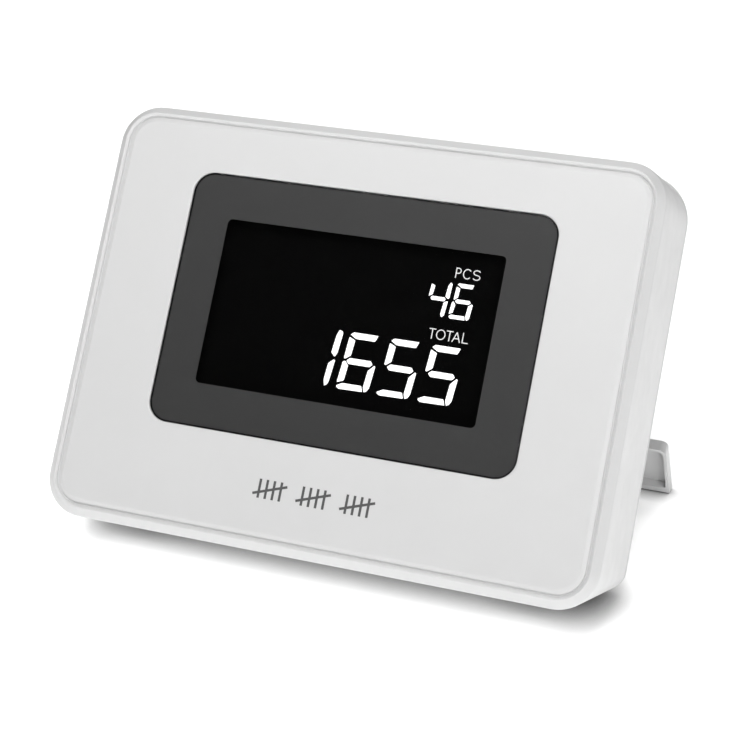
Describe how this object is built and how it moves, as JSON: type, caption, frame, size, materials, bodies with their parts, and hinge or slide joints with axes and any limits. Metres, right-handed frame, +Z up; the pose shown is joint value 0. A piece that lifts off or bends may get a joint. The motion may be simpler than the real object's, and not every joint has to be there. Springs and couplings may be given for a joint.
{
  "type": "remote display unit",
  "caption": "Tilted desk display unit of a counting scale: white housing, dark window over an LCD, data socket behind, fold-out stand.",
  "frame": {"origin": "on the table, centred under the unit with its stand open", "axes": "+X to the viewer's right along the hinge, +Y away from the viewer, +Z up; the face looks towards -Y and leans back 30 degrees"},
  "size_m": [0.1418, 0.1019, 0.1039],
  "materials": {
    "white_plastic": "fine satin texture",
    "inner_plastic": "matt",
    "clear_window": "gloss",
    "printed_mask": "satin",
    "black_plastic": "satin",
    "foam": "matt",
    "lcd_glass": "gloss",
    "light_guide": "gloss",
    "white_film": "gloss",
    "elastomer": "matt",
    "board": "satin",
    "rubber": "matt",
    "steel": "zinc plated",
    "contact_gold": "plated",
    "label_film": "satin"
  },
  "bodies": {
    "display_unit": {"backlight_led_left": "light_guide", "backlight_led_right": "light_guide", "backlight_light_guide": "light_guide", "backlight_reflector": "white_film", "board_screw_lower_left": "steel", "board_screw_lower_right": "steel", "board_screw_upper_left": "steel", "board_screw_upper_right": "steel", "buffer_capacitor": "black_plastic", "case_screw_lower_left": "steel", "case_screw_lower_right": "steel", "case_screw_upper_left": "steel", "case_screw_upper_right": "steel", "crystal": "steel", "data_socket": "black_plastic", "foot_pad_left": "rubber", "foot_pad_right": "rubber", "front_housing": "white_plastic", "hinge_pin_left": "steel", "hinge_pin_right": "steel", "lcd_driver_chip": "black_plastic", "lcd_dust_gasket": "foam", "lcd_front_glass": "lcd_glass", "lcd_front_polariser": "lcd_glass", "lcd_holder": "inner_plastic", "lcd_rear_glass": "lcd_glass", "lcd_rear_polariser": "lcd_glass", "main_pcb": "board", "microcontroller_chip": "black_plastic", "rating_label": "label_film", "rear_cover": "white_plastic", "socket_contacts": "contact_gold", "voltage_regulator": "black_plastic", "window_adhesive": "black_plastic", "window_lens": "clear_window", "window_mask": "printed_mask", "zebra_strip": "elastomer"},
    "stand": {"fold_out_stand": "white_plastic", "stand_pad_left": "rubber", "stand_pad_right": "rubber"}
  },
  "joints": [
    {"name": "stand_hinge", "type": "hinge", "parent": "display_unit", "child": "stand", "pos_m": [0, 0.02245, 0.05544], "axis": [1, 0, 0], "range_deg": [-55.1, 0]}
  ]
}
